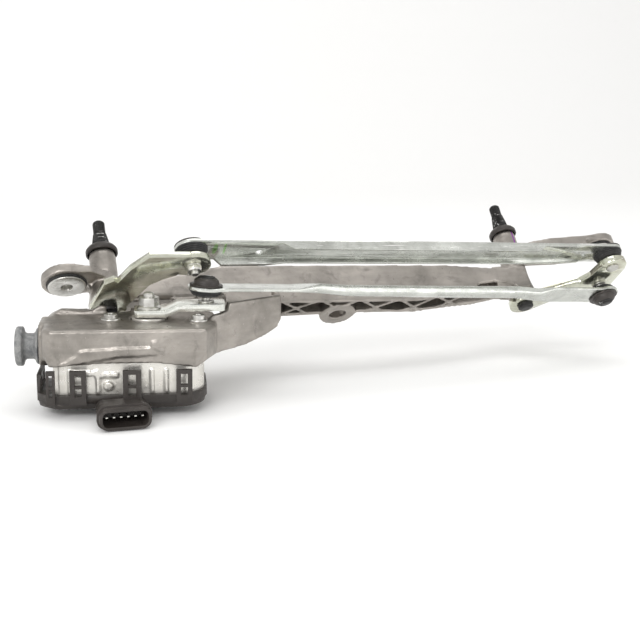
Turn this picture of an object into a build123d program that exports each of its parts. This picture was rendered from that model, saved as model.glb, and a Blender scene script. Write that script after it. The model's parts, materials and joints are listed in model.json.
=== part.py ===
from build123d import *
import os
from math import atan2, cos, degrees, radians, sin

# Windshield wiper drive: a gear motor under a cast frame turns a crank, whose link swings the
# far wiper spindle; a second link carries the swing on to the near spindle.
# Millimetres. The origin is the centre of the near mounting bush. +Z is the direction of the
# motor's output axis, and +X runs along the links to the far spindle.

# ---- driving dimensions -------------------------------------------------------------------
MOTOR_YAW = -10.0           # motor and crank turned about Z from the links
TILT = 42.0                 # spindles lean back from the motor's output axis
SPACING = 376.0             # between the two spindles
SPACING_TURN = 4.1          # of the spindle line in the plane across the spindles
HUB_FROM_MOTOR = Vector(-25, 44, 11)    # output axis to the near spindle's foot
LEFT_EAR = (-30.0, -4.5, 17.0)          # across, back and up from that foot
EAR_THICK = 7.5

CRANK_R = 42.0              # output axis to crank ball
CRANK_THICK = 5.0
CRANK_HUB_Z = 11.5          # underside of the crank at its hub
CRANK_JOGGLE = 4.5
CRANK_HALF = 11.0           # half the width of the crank's bar
STUD_HEIGHT = 8.5           # plate face to ball centre on the lower link's studs
UPPER_STUD_HEIGHT = 8.0

LEVER_THICK = 5.0
UPPER_BALL = (58.0, -60.0)  # in the plane across the spindle, from its axis
LOWER_BALL = (60.0, -31.0)

BALL_R = 6.0
OPEN_BALL_R = 4.6           # ball at the pivot where the modelled loop is opened
SOCKET_R = 7.8              # hollow of the ball sockets
DOME_R = 9.0
UPPER_DOME = 7.4            # ball centre to the top of the socket
LOWER_DOME = 9.8
FLANGE_R = 12.5
LINK_WIDTH = 22.0
LINK_THICK = 2.5
LINK_RISE = 1.0             # ball centre to the near face of the link
UPPER_EDGES = (              # side, and (distance along, height) of each turned-down edge
    (1, ((20, 1), (25, -5), (60, -4.5), (78, -2.3), (300, -2.3), (350, -0.3), (354, 1))),
    (-1, ((70, 1), (78, -4.3), (298, -4.3), (306, 1))),
)
GAP = 0.35                  # between pieces of different bodies
HUB_CLEAR_R = 17.0

SPINDLE_R = 5.5
BUSH_CLEAR = 0.05
BUSH_R = 7.5
TUBE_R = 10.5
CAP_R = 12.6
LEFT_TUBE = 47.0            # hub face to the middle of the collar cap
LEFT_TIP = 76.0
RIGHT_TUBE = 70.5
RIGHT_TIP = 102.0
THREAD_R = 4.95             # M10 end for the wiper arm's nut
THREAD_ROOT = 4.35
THREAD_PITCH = 1.25

CARRIER_TOP = 9.0
CARRIER_LEFT = -75.0
CARRIER_RIGHT = 41.0
CARRIER_FRONT = -38.0
CARRIER_BACK = 44.0
CARRIER_DEEP = 29.0
WALL = 3.5
HOUSING_FRONT = -33.8
HOUSING_TOP = -6.0
HOUSING_BOTTOM = -42.0
COVER_BOTTOM = -49.0
COVER_LEFT = -80.0
SCREW_SPOTS = ((-28, -6), (36, -12), (-50, 26), (24, 30))
BOSS_R = 13.0
PEG_Y = -5.0
PEG_Z = -10.0
PEG_R = 6.0

BEAM_LOW = -7.0             # heights of the beam along the spindles, from the left hub
BEAM_HIGH = 28.0
BEAM_WALL = 3.2
RIB_PAIRS = 6
MIDDLE_EAR = (193.0, 22.0)
MIDDLE_BORE = 7.0
EAR_DEEP = 9.0
EAR_BORE = 12.0
SWOOP_START = (44.0, -14.0)
SWOOP_END = (102.0, 25.0)
SWOOP_TOP = 20.5
SLEEVE_R = 4.6
SLEEVE_OUT = 6.2
SLEEVE_TOP = 6.5

WORM_Y = 25.0               # motor axis behind the output axis
WORM_Z = -22.0
WORM_R = 3.6
WORM_ROOT = 2.6
WORM_PITCH = 2.2
WORM_TURNS = 10
SHAFT_R = 2.5
CAN_R = 14.5
CAN_START = -26.0
CAN_LONG = 45.0
FRONT_BUSH_R = 8.2
WHEEL_R = 21.0
WHEEL_LOW = -27.0
WHEEL_THICK = 10.0
WHEEL_TEETH = 60
SHAFT_OUT_R = 6.0
OUT_BUSH_R = 8.5
SCREW_R = 2.9
STUD_R = 4.0
SEAT_AXIS = Vector(0.1357, -0.2016, 1).normalized()

CLIPS = ((-69.0, 6.0), (-50.0, 11.5), (-12.0, 13.0), (25.0, 11.5))
CLIP_Z = -32.5
CLIP_HIGH = 25.0
CLIP_FRONT = -37.9
SOCKET_FROM_MOTOR = Vector(-27.0, -62.0, -48.0)
SOCKET_WIDE = 36.0
SOCKET_HIGH = 15.0
SOCKET_LONG = 26.0
PIN_COUNT = 6

os.makedirs("parts", exist_ok=True)


# ---- shared frames ------------------------------------------------------------------------
X = Vector(1, 0, 0)
S = Vector(0, sin(radians(TILT)), cos(radians(TILT)))
ACROSS = S.cross(X)
TURN = radians(SPACING_TURN)
LEFT_HUB = -(X * LEFT_EAR[0] + ACROSS * LEFT_EAR[1] + S * (LEFT_EAR[2] + EAR_THICK / 2))
MOTOR = LEFT_HUB - HUB_FROM_MOTOR
SOCKET_MOUTH = MOTOR + SOCKET_FROM_MOTOR
RIGHT_HUB = LEFT_HUB + X * (SPACING * cos(TURN)) + ACROSS * (SPACING * sin(TURN))

EARS = (                    # hub, (u, v, low face, thickness, radius, bore)
    (LEFT_HUB, (*LEFT_EAR, EAR_THICK, 19.0, EAR_BORE)),
    (RIGHT_HUB, (84.0, -12.0, 43.5, EAR_THICK, 18.0, EAR_BORE)),
)


def level(hub, height, u=0.0, v=0.0):
    """Plane across a spindle, at a height along it, its origin at (u, v) from the axis."""
    return Plane(origin=hub + S * height + X * u + ACROSS * v, x_dir=X, z_dir=S)


def motor(z=0.0, x=0.0, y=0.0):
    """Horizontal plane turned with the motor, its origin at (x, y) in the motor's directions."""
    yaw = radians(MOTOR_YAW)
    place = Vector(x * cos(yaw) - y * sin(yaw), x * sin(yaw) + y * cos(yaw), z)
    return Plane(origin=MOTOR + place, x_dir=(cos(yaw), sin(yaw), 0), z_dir=(0, 0, 1))


def motor_front(y, z=0.0, x=0.0):
    """Upright plane facing the front of the motor."""
    base = motor(z, x, y)
    return Plane(origin=base.origin, x_dir=base.x_dir, z_dir=-base.y_dir)


def motor_side(x, y=0.0, z=0.0):
    """Upright plane across the motor's length, its normal along the length."""
    base = motor(z, x, y)
    return Plane(origin=base.origin, x_dir=base.y_dir, z_dir=base.x_dir)


def save(built, name):
    built.part.label = name
    export_step(built.part, f"parts/{name}.step")


def disc(plane, radius, height, bore=0.0):
    """Plain round solid, with an optional bore, standing on a plane."""
    with BuildPart() as made:
        with BuildSketch(plane):
            Circle(radius)
            if bore:
                Circle(bore, mode=Mode.SUBTRACT)
        extrude(amount=height)
    return made.part


def turned(plane, points):
    """Solid of revolution about the plane's normal, from (radius, height) corners."""
    profile = Plane(origin=plane.origin, x_dir=plane.x_dir, z_dir=-plane.y_dir)
    with BuildPart() as made:
        with BuildSketch(profile):
            with BuildLine():
                Polyline(*points, close=True)
            make_face()
        revolve(axis=Axis(plane.origin, plane.z_dir))
    return made.part


CRANK_BALL = motor(CRANK_HUB_Z + CRANK_JOGGLE + CRANK_THICK + STUD_HEIGHT, CRANK_R)
LEFT_BALL = level(LEFT_HUB, UPPER_STUD_HEIGHT, *UPPER_BALL)
RIGHT_BALL = level(RIGHT_HUB, UPPER_STUD_HEIGHT, *UPPER_BALL)
LOW_BALL_UP = level(RIGHT_HUB, -LEVER_THICK - STUD_HEIGHT, *LOWER_BALL)
LOW_BALL = Plane(origin=LOW_BALL_UP.origin, x_dir=X, z_dir=-S)


# ---- the casting --------------------------------------------------------------------------
def carrier_outline():
    """Top view of the motor carrier, in the motor's directions."""
    Polyline(
        (CARRIER_LEFT, CARRIER_FRONT + 6), (CARRIER_LEFT + 6, CARRIER_FRONT),
        (CARRIER_RIGHT, CARRIER_FRONT), (CARRIER_RIGHT + 8, -20), (CARRIER_RIGHT + 8, 20),
        (22, CARRIER_BACK), (-44, CARRIER_BACK), (-64, 28), (CARRIER_LEFT, 10), close=True,
    )


def motor_carrier():
    """Tray over the gear housing: flat top, skirt round it, raised ledge along the front."""
    with BuildPart() as made:
        with BuildSketch(motor(CARRIER_TOP)):
            with BuildLine():
                carrier_outline()
            make_face()
        extrude(amount=-CARRIER_DEEP)
        fillet(made.edges().group_by(Axis.Z)[-1], 2.5)
        with BuildSketch(motor(CARRIER_TOP - WALL)):
            with BuildLine():
                carrier_outline()
            make_face()
            offset(amount=-WALL, mode=Mode.REPLACE)
        extrude(amount=-40, mode=Mode.SUBTRACT)
        with BuildSketch(motor_front(CARRIER_FRONT - 5)):
            with BuildLine():
                Polyline((CARRIER_LEFT - 5, -10), (CARRIER_LEFT + 1, -12), (CARRIER_LEFT + 5, -18),
                         (-34, -15.8), (6, -15.8), (34, -19.5), (CARRIER_RIGHT, -14),
                         (CARRIER_RIGHT + 30, -14), (CARRIER_RIGHT + 30, -40),
                         (CARRIER_LEFT - 5, -40), close=True)
            make_face()
        extrude(amount=-(CARRIER_BACK - CARRIER_FRONT + 10), mode=Mode.SUBTRACT)
        with BuildSketch(motor(-5.5)):
            with Locations((-55, 30)):
                Rectangle(60, 41)
        extrude(amount=-30, mode=Mode.SUBTRACT)
        with BuildSketch(motor_front(CARRIER_FRONT + 0.5)):
            with BuildLine():
                Polyline((-62, -16.4), (-52, -10.5), (-47.5, -6.2), (-20, -4.6), (2, -4.0), (2.5, 0.5),
                         (7, 0.5), (7, -9.0), (-20, -10.0), close=True)
            make_face()
        extrude(amount=2.0)
        with BuildSketch(motor(CARRIER_TOP)):
            with Locations(*SCREW_SPOTS):
                Circle(9)
        extrude(amount=0.8)
        with BuildSketch(motor(CARRIER_TOP - WALL)):
            with Locations(*SCREW_SPOTS):
                Circle(6.5)
        extrude(amount=HOUSING_TOP - CARRIER_TOP + WALL)
        with BuildSketch(motor(CARRIER_TOP + 2)):
            Circle(BOSS_R + 0.6)
            with Locations(*SCREW_SPOTS):
                Circle(3.2)
        extrude(amount=-60, mode=Mode.SUBTRACT)
    return made.part


def peg_lug():
    """Lug and round peg at the left end that hold the locating grommet."""
    with BuildPart() as made:
        with BuildSketch(motor_side(CARRIER_LEFT + 3, PEG_Y + 3, PEG_Z + 3)):
            RectangleRounded(38, 32, 10)
        extrude(amount=-7)
        with BuildSketch(motor_side(CARRIER_LEFT - 3, PEG_Y, PEG_Z)):
            Circle(PEG_R)
        extrude(amount=-18)
    return made.part


def rear_hump():
    """Raised back corner of the carrier over the motor can."""
    left = CARRIER_LEFT - 2.0
    with BuildPart() as made:
        with BuildSketch(motor_front(30)):
            with BuildLine():
                Polyline((left, -4), (left, 4), (left + 4, 8), (left + 11, 12.0), (-56, 11.0),
                         (-50, 10.4), (-43, 11.2), (-37, 15), (-32, 15), (-32, -4), close=True)
            make_face()
        extrude(amount=15)
    return made.part


def near_wall():
    """Front wall of the beam carried on above the near lever to the near spindle."""
    across = Plane(origin=LEFT_HUB, x_dir=X, z_dir=-ACROSS)
    with BuildPart() as made:
        with BuildSketch(across.offset(6)):
            with BuildLine():
                Polyline((12, 4), (12, 15), (40, 18), (70, 23), (93, BEAM_HIGH), (93, 1.5),
                         (60, 1.5), (40, 2.5), close=True)
            make_face()
        extrude(amount=-BEAM_WALL)
    return made.part


def swoop_plane():
    """Upright plane of the curved web, slanting back from the carrier to the beam."""
    start = motor(0, *SWOOP_START)
    end = motor(0, *SWOOP_END)
    along = (end.origin - start.origin).normalized()
    return Plane(origin=start.origin, x_dir=along, z_dir=along.cross(Vector(0, 0, 1)))


def swoop():
    """Curved web from the carrier's right side up to the beam, with a flange along its foot."""
    face = swoop_plane()
    with BuildPart() as made:
        with BuildSketch(motor_front(62)):
            with BuildLine():
                Polyline((44, -17), (72, -14.3), (88, -9.6), (97, -5.5), (101.5, 1), (101.5, 18),
                         (98, 18), (98, 3), (94, -1.5), (86, -5.6), (71, -10.3), (44, -13),
                         close=True)
            make_face()
        extrude(amount=74)
        with BuildSketch(face):
            Rectangle(400, 200)
        extrude(amount=80, mode=Mode.SUBTRACT)
        with BuildSketch(face):
            with BuildLine():
                Polyline((1, -17), (34, -14.3), (54, -9.6), (66, -5), (69, 2), (69, SWOOP_TOP),
                         (20, SWOOP_TOP), (18, 14.6), (4, 12.5), (1, CARRIER_TOP - 1), close=True)
            make_face()
            fillet([v for v in vertices() if 40 < v.X and v.Y < 3], 5)
        extrude(amount=-4.5)
    return made.part


def beam_outline():
    """Beam seen along the spindles, measured from the left spindle."""
    Polyline((92, -6), (215, 1), (300, 7), (350, 15), (378, 12),
             (384, 40), (350, 38), (300, 30), (215, 22), (92, 22), close=True)


def beam():
    """Channel open underneath, stiffened by crossed ribs, lower at the far end."""
    with BuildPart() as made:
        with BuildSketch(level(LEFT_HUB, BEAM_LOW)):
            with BuildLine():
                beam_outline()
            make_face()
        extrude(amount=BEAM_HIGH - BEAM_LOW)
        with BuildSketch(level(LEFT_HUB, BEAM_LOW)):
            with BuildLine():
                beam_outline()
            make_face()
            offset(amount=-BEAM_WALL, mode=Mode.REPLACE)
        extrude(amount=BEAM_HIGH - BEAM_LOW - BEAM_WALL, mode=Mode.SUBTRACT)
        with BuildSketch(level(LEFT_HUB, BEAM_LOW)):
            for i in range(RIB_PAIRS):
                with Locations((118 + i * 36, 8 + i * 2.6)):
                    Rectangle(44, 2.4, rotation=40)
                    Rectangle(44, 2.4, rotation=-34)
            with BuildLine():
                beam_outline()
            make_face(mode=Mode.INTERSECT)
        extrude(amount=12)
        across = Plane(origin=LEFT_HUB, x_dir=X, z_dir=-ACROSS)
        with BuildSketch(across.offset(20)):
            with BuildLine():
                Polyline((245, BEAM_LOW - 5), (262, BEAM_LOW), (325, 1.5), (352, 8), (400, 4),
                         (400, BEAM_LOW - 5), close=True)
            make_face()
        extrude(amount=-80, mode=Mode.SUBTRACT)
        with BuildSketch(across.offset(20)):
            with BuildLine():
                Polyline((308, -5), (318, 6), (330, 11.5), (345, 14), (358, 13), (364, 9),
                         (366, -5), close=True)
            make_face()
        extrude(amount=-39, mode=Mode.SUBTRACT)
    return made.part


def pivot_housing(hub, length):
    """Tube round a spindle, flared at its foot, bored for its two bushes."""
    return turned(level(hub, 0), [
        (BUSH_R, 2.0), (12.5, 2.0), (13.0, 5.0), (TUBE_R + 0.8, 14.0), (TUBE_R, 22.0),
        (TUBE_R, length - 6.0), (TUBE_R - 0.6, length - 1.0), (BUSH_R, length - 1.0),
    ])


def bridge(hub, low, high, points):
    """Flat web across the spindles between two heights."""
    with BuildPart() as made:
        with BuildSketch(level(hub, low)):
            with BuildLine():
                Polyline(*points, close=True)
            make_face()
        extrude(amount=high - low)
    return made.part


def lever_sweep():
    """Shallow room that the near lever sweeps through over the carrier's back edge."""
    with BuildPart() as made:
        with BuildSketch(level(LEFT_HUB, -LEVER_THICK - 0.6)):
            with Locations((0, -25.5)):
                Rectangle(100, 69)
        extrude(amount=LEVER_THICK + 1.0)
    return made.part


def build_frame():
    webs = [
        bridge(LEFT_HUB, 17.5, 24.0, [(-30, -23.5), (-12, -20), (4, -9), (0, 9.5),
                                            (-30, 14.5)]),
        bridge(LEFT_HUB, 10.0, 17.5, [(-13, -5), (0, -3), (0, 3), (-13, -1)]),
        bridge(LEFT_HUB, 4.0, 15.0, [(-12, 0), (12, -2), (60, -2), (104, 0), (104, 20),
                                     (40, 26), (-12, 26)]),
        bridge(RIGHT_HUB, 45.5, 50.0, [(0, -10), (14, -20), (30, -25), (84, -29.5), (84, 5),
                                       (20, 8)]),
        bridge(RIGHT_HUB, 38.0, 46.0, [(4, -14), (14, -20), (30, -25), (66, -28), (66, -24.5),
                                       (30, -21), (8, -8)]),
        bridge(RIGHT_HUB, 39.0, 46.0, [(8, 3), (34, 2), (66, 1), (66, 4.5), (34, 6), (10, 7)]),
        bridge(RIGHT_HUB, 41.0, 46.0, [(28, -23), (31, -23), (46, 4), (43, 4)]),
        bridge(RIGHT_HUB, 41.0, 46.0, [(43, -24), (46, -24), (31, 4), (28, 4)]),
        bridge(RIGHT_HUB, 41.0, 46.0, [(58, -26), (61, -26), (61, 4), (58, 4)]),
        bridge(RIGHT_HUB, 10.0, 32.0, [(-26, -8), (-4, -9), (4, 9), (-26, 12)]),
    ]
    bridge_foot = motor_foot()
    middle_ear = disc(level(LEFT_HUB, BEAM_LOW - 1, *MIDDLE_EAR), 15.5, EAR_DEEP)
    with BuildPart() as frame:
        for piece in (motor_carrier(), peg_lug(), rear_hump(), near_wall(), swoop(), beam(),
                      bridge_foot, middle_ear, *webs):
            add(piece)
        for hub, (u, v, low, thick, radius, bore) in EARS:
            add(disc(level(hub, low, u, v), radius, thick))
        for hub, length in ((LEFT_HUB, LEFT_TUBE), (RIGHT_HUB, RIGHT_TUBE)):
            add(pivot_housing(hub, length))
            add(disc(level(hub, -20), BUSH_R, length + 30), mode=Mode.SUBTRACT)
            add(disc(level(hub, -14), HUB_CLEAR_R, 16), mode=Mode.SUBTRACT)
        add(lever_sweep(), mode=Mode.SUBTRACT)
        for hub, (u, v, low, thick, radius, bore) in EARS:
            add(disc(level(hub, low - 1, u, v), bore, thick + 2), mode=Mode.SUBTRACT)
        ear_low = BEAM_LOW - 1
        add(disc(level(LEFT_HUB, ear_low - 1, *MIDDLE_EAR), MIDDLE_BORE, EAR_DEEP + 2),
            mode=Mode.SUBTRACT)
        add(disc(level(LEFT_HUB, ear_low + EAR_DEEP, *MIDDLE_EAR), MIDDLE_BORE + 1.5, 40),
            mode=Mode.SUBTRACT)
    return frame


def motor_foot():
    """Upstand on the back of the carrier that carries the left spindle housing."""
    with BuildPart() as made:
        with BuildSketch(motor(CARRIER_TOP - 3)):
            with BuildLine():
                Polyline((-44, 30), (-10, 36), (22, 36), (36, 42), (36, 58), (-30, 58),
                         (-44, 44), close=True)
            make_face()
        extrude(amount=8)
    return made.part


def ring_mount(hub, u, v, low, thick, radius, bore):
    """Rubber grommet and steel sleeve, with a washer on its low end, that sit in an ear."""
    face = thick / 2 + 1.6
    grommet = turned(level(hub, low + thick / 2, u, v), [
        (SLEEVE_OUT, -face), (15.0, -face), (15.5, 0.6 - face), (15.5, -thick / 2 - 0.1),
        (bore, -thick / 2 - 0.1), (bore, thick / 2 + 0.1), (15.0, thick / 2 + 0.1),
        (14.5, 1.4 + thick / 2), (SLEEVE_OUT, 1.4 + thick / 2),
    ])
    sleeve = turned(level(hub, low + thick / 2, u, v), [
        (SLEEVE_R, -face - 1.6), (13.6, -face - 1.6), (14.4, -face - 1.0), (14.4, -face),
        (SLEEVE_OUT, -face), (SLEEVE_OUT, SLEEVE_TOP), (SLEEVE_R, SLEEVE_TOP),
    ])
    return grommet, sleeve


def peg_grommet():
    """Rubber spool on the locating peg."""
    end = CARRIER_LEFT - 4.0
    spot = motor_side(end, PEG_Y, PEG_Z)
    return turned(Plane(origin=spot.origin, x_dir=spot.x_dir, z_dir=-spot.z_dir), [
        (PEG_R, 0.2), (13.0, 0.2), (13.5, 0.8), (13.2, 2.2), (10.2, 3.4), (9.5, 4.6),
        (9.5, 9.4), (10.6, 10.8), (14.5, 12.0), (14.5, 16.0), (13.4, 17.0), (PEG_R, 17.0),
    ])


def build_fixed_mounts():
    for side, (hub, spot) in zip(("left", "right"), EARS):
        grommet, sleeve = ring_mount(hub, *spot)
        save_solid(grommet, f"{side}_mount_grommet")
        save_solid(sleeve, f"{side}_mount_sleeve")
    save_solid(peg_grommet(), "locating_peg_grommet")


def save_solid(shape, name):
    with BuildPart() as piece:
        add(shape)
    save(piece, name)


# ---- gear motor ---------------------------------------------------------------------------
def housing_outline():
    """Top view of the gear housing in the motor's directions."""
    Polyline((-68, HOUSING_FRONT + 3.5), (-64, HOUSING_FRONT), (22, HOUSING_FRONT))
    RadiusArc((22, HOUSING_FRONT), (40, -17), -20)
    Polyline((40, -17), (40, 12))
    RadiusArc((40, 12), (20, 34), -22)
    Polyline((20, 34), (CAN_START + 1, 34), (CAN_START + 1, 9.0), (-68, 9.0),
             (-68, HOUSING_FRONT + 3.5))


def gear_housing():
    """Die-cast box open underneath, with a boss for the output shaft."""
    with BuildPart() as made:
        with BuildSketch(motor(HOUSING_BOTTOM)):
            with BuildLine():
                housing_outline()
            make_face()
        extrude(amount=HOUSING_TOP - HOUSING_BOTTOM)
        with BuildSketch(motor(HOUSING_TOP)):
            Circle(BOSS_R)
        extrude(amount=CARRIER_TOP + 1.5 - HOUSING_TOP)
        with BuildSketch(motor(HOUSING_BOTTOM)):
            with BuildLine():
                housing_outline()
            make_face()
            offset(amount=-3.5, mode=Mode.REPLACE)
        extrude(amount=HOUSING_TOP - HOUSING_BOTTOM - 5, mode=Mode.SUBTRACT)
        with BuildSketch(motor(HOUSING_TOP - 5)):
            Circle(11)
            with Locations(*SCREW_SPOTS[:2]):
                Circle(5.5)
        extrude(amount=-4)
        with BuildSketch(motor(CARRIER_TOP + 2)):
            Circle(OUT_BUSH_R)
        extrude(amount=-40, mode=Mode.SUBTRACT)
        with BuildSketch(motor(HOUSING_TOP + 1)):
            with Locations(*SCREW_SPOTS[:2]):
                Circle(SCREW_R)
        extrude(amount=-10, mode=Mode.SUBTRACT)
        with BuildSketch(motor_side(CAN_START, WORM_Y, WORM_Z)):
            Circle(FRONT_BUSH_R)
        extrude(amount=6, mode=Mode.SUBTRACT)
        with BuildSketch(motor_front(HOUSING_FRONT + 0.2)):
            with Locations((-56, -29.5), (-36, -29.5), (2, -29.5), (12, -29.5)):
                Rectangle(2.2, 17)
            with Locations((-46, -23.5), (-30, -25)):
                Rectangle(16, 3)
        extrude(amount=1.4)
        with BuildSketch(motor_front(HOUSING_FRONT + 0.2)):
            with Locations((-29, -33)):
                Circle(3.2)
        extrude(amount=2.2)
    return made


def motor_can():
    """Deep-drawn yoke over the armature, closed at its far end."""
    start = motor_side(CAN_START, WORM_Y, WORM_Z)
    axis = Plane(origin=start.origin, x_dir=start.x_dir, z_dir=-start.z_dir)
    return axis, turned(axis, [
        (9.0, 0.0), (CAN_R + 1.0, 0.0), (CAN_R + 1.0, 1.5), (CAN_R, 2.5), (CAN_R, CAN_LONG - 4),
        (CAN_R - 3, CAN_LONG), (6.5, CAN_LONG), (6.0, CAN_LONG + 2.5), (0.0, CAN_LONG + 2.5),
        (0.0, CAN_LONG + 1.3), (4.5, CAN_LONG + 1.3), (4.5, CAN_LONG - 1.5),
        (CAN_R - 3.5, CAN_LONG - 1.5), (CAN_R - 1.5, CAN_LONG - 4.5), (CAN_R - 1.5, 1.5),
        (9.0, 1.5),
    ])


def build_motor():
    axis, can = motor_can()
    save_solid(can, "motor_can")
    with BuildPart() as magnets:
        with BuildSketch(axis.offset(12)):
            Circle(CAN_R - 1.6)
            Circle(CAN_R - 4.0, mode=Mode.SUBTRACT)
            Rectangle(60, 8, mode=Mode.SUBTRACT)
        extrude(amount=28)
    save(magnets, "motor_magnets")
    with BuildPart() as core:
        with BuildSketch(axis.offset(13)):
            Circle(CAN_R - 4.6)
            Circle(SHAFT_R, mode=Mode.SUBTRACT)
            with PolarLocations(CAN_R - 6.0, 10):
                Rectangle(4.4, 1.6, mode=Mode.SUBTRACT)
        extrude(amount=26)
    save(core, "armature_core")
    save_solid(disc(axis.offset(5.5), 5.5, 5.0, SHAFT_R), "commutator")
    first = CAN_START - WORM_TURNS * WORM_PITCH / 2
    worm = [(0.0, first - 4.0), (SHAFT_R, first - 4.0), (SHAFT_R, first - 0.6)]
    for i in range(WORM_TURNS):
        at = first + i * WORM_PITCH
        worm += [(WORM_ROOT, at), (WORM_R, at + 0.55), (WORM_R, at + 0.95), (WORM_ROOT, at + 1.5)]
    worm += [(SHAFT_R, first + WORM_TURNS * WORM_PITCH), (SHAFT_R, CAN_LONG + 1.0),
             (0.0, CAN_LONG + 1.0)]
    save_solid(turned(axis, worm), "armature_shaft")
    save_solid(disc(axis.offset(CAN_LONG - 1.3), 4.5, 2.5, SHAFT_R + BUSH_CLEAR),
               "armature_rear_bush")
    save_solid(disc(axis.offset(-0.5), FRONT_BUSH_R, -3.5, SHAFT_R + BUSH_CLEAR),
               "armature_front_bush")
    save_solid(disc(axis.offset(2.0), CAN_R - 2.0, 2.0, 6.5), "brush_holder")
    with BuildPart() as brushes:
        for side in (-1, 1):
            with BuildSketch(axis.offset(6.2)):
                with Locations((side * 7.6, 0)):
                    Rectangle(3.4, 3.4)
            extrude(amount=3.6)
    save(brushes, "carbon_brushes")
    wheel_parts()


def wheel_parts():
    with BuildPart() as wheel:
        with BuildSketch(motor(WHEEL_LOW)):
            Circle(WHEEL_R)
            Circle(SHAFT_OUT_R, mode=Mode.SUBTRACT)
        extrude(amount=WHEEL_THICK)
        with BuildSketch(motor(WHEEL_LOW)):
            with PolarLocations(WHEEL_R, WHEEL_TEETH):
                Rectangle(2.0, 0.9)
        extrude(amount=WHEEL_THICK, mode=Mode.SUBTRACT)
        with BuildSketch(motor(WHEEL_LOW + WHEEL_THICK)):
            Circle(WHEEL_R - 4)
            Circle(10, mode=Mode.SUBTRACT)
        extrude(amount=-3, mode=Mode.SUBTRACT)
    save(wheel, "worm_wheel")
    top = CRANK_HUB_Z + CRANK_THICK
    save_solid(turned(motor(0), [
        (0, WHEEL_LOW - 1), (SHAFT_OUT_R, WHEEL_LOW - 1), (SHAFT_OUT_R, CRANK_HUB_Z),
        (SHAFT_OUT_R - 0.8, top), (4.0, top), (4.0, top + 11.0), (3.2, top + 12.0),
        (0, top + 12.0),
    ]), "output_shaft")
    save_solid(disc(motor(HOUSING_TOP - 9), OUT_BUSH_R, 24.0, SHAFT_OUT_R + BUSH_CLEAR),
               "output_bush")


def cover_outline():
    """Outline of the electronics cover in the motor's directions."""
    Polyline((COVER_LEFT, -26), (COVER_LEFT + 4, -31), (-67, -38), (20, -38))
    RadiusArc((20, -38), (42, -16), -22)
    Polyline((42, -16), (42, 12))
    RadiusArc((42, 12), (21, 36.5), -24)
    Polyline((21, 36.5), (CAN_START - 0.5, 36.5), (CAN_START - 0.5, 11), (COVER_LEFT, 11),
             (COVER_LEFT, -26))


def control_cover():
    """Black tray under the housing, with clip loops and the connector shell."""
    with BuildPart() as made:
        with BuildSketch(motor(HOUSING_BOTTOM - 0.2)):
            with BuildLine():
                cover_outline()
            make_face()
        extrude(amount=COVER_BOTTOM - HOUSING_BOTTOM + 0.2, taper=14)
        with BuildSketch(motor(HOUSING_BOTTOM - 0.2)):
            with BuildLine():
                cover_outline()
            make_face()
            offset(amount=-3.0, mode=Mode.REPLACE)
        extrude(amount=COVER_BOTTOM - HOUSING_BOTTOM + 2.6, taper=14, mode=Mode.SUBTRACT)
        with BuildSketch(motor(HOUSING_BOTTOM - 3)):
            with BuildLine():
                cover_outline()
            make_face()
            with BuildLine():
                housing_outline()
            make_face(mode=Mode.SUBTRACT)
            with Locations((-14, 20)):
                Rectangle(60, 60, mode=Mode.SUBTRACT)
        extrude(amount=6)
        for x, wide in CLIPS:
            with BuildSketch(motor_front(CLIP_FRONT)):
                with Locations((x, CLIP_Z)):
                    Rectangle(wide, CLIP_HIGH)
                with Locations((x, CLIP_Z + 5.5)):
                    Rectangle(wide * 0.42, 8, mode=Mode.SUBTRACT)
                with Locations((x, CLIP_Z - 3.5)):
                    Rectangle(wide * 0.42, 6, mode=Mode.SUBTRACT)
            extrude(amount=3.4)
        with BuildSketch(motor_side(COVER_LEFT, -10, -34.5)):
            Rectangle(32, 17)
            with Locations((-8, 1), (8, 1)):
                Rectangle(10, 8, mode=Mode.SUBTRACT)
        extrude(amount=2.4)
        with BuildSketch(Plane(origin=SOCKET_MOUTH, x_dir=X, z_dir=(0, -1, 0))):
            RectangleRounded(SOCKET_WIDE, SOCKET_HIGH, 6)
        extrude(amount=-SOCKET_LONG)
        with BuildSketch(Plane(origin=SOCKET_MOUTH + Vector(0, 7, 0), x_dir=X, z_dir=(0, -1, 0))):
            RectangleRounded(SOCKET_WIDE + 2.4, SOCKET_HIGH + 2.0, 6)
        extrude(amount=-3)
        with BuildSketch(Plane(origin=SOCKET_MOUTH, x_dir=X, z_dir=(0, -1, 0))):
            RectangleRounded(SOCKET_WIDE - 4, SOCKET_HIGH - 4, 4)
        extrude(amount=-SOCKET_LONG + 3, mode=Mode.SUBTRACT)
        with BuildSketch(motor(HOUSING_BOTTOM - 0.2)):
            with BuildLine():
                cover_outline()
            make_face()
            offset(amount=-3.0, mode=Mode.REPLACE)
        extrude(amount=-5, mode=Mode.SUBTRACT)
        with BuildSketch(motor(HOUSING_BOTTOM)):
            with BuildLine():
                housing_outline()
            make_face()
            offset(amount=0.1, mode=Mode.REPLACE)
        extrude(amount=26, mode=Mode.SUBTRACT)
    return made


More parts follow.
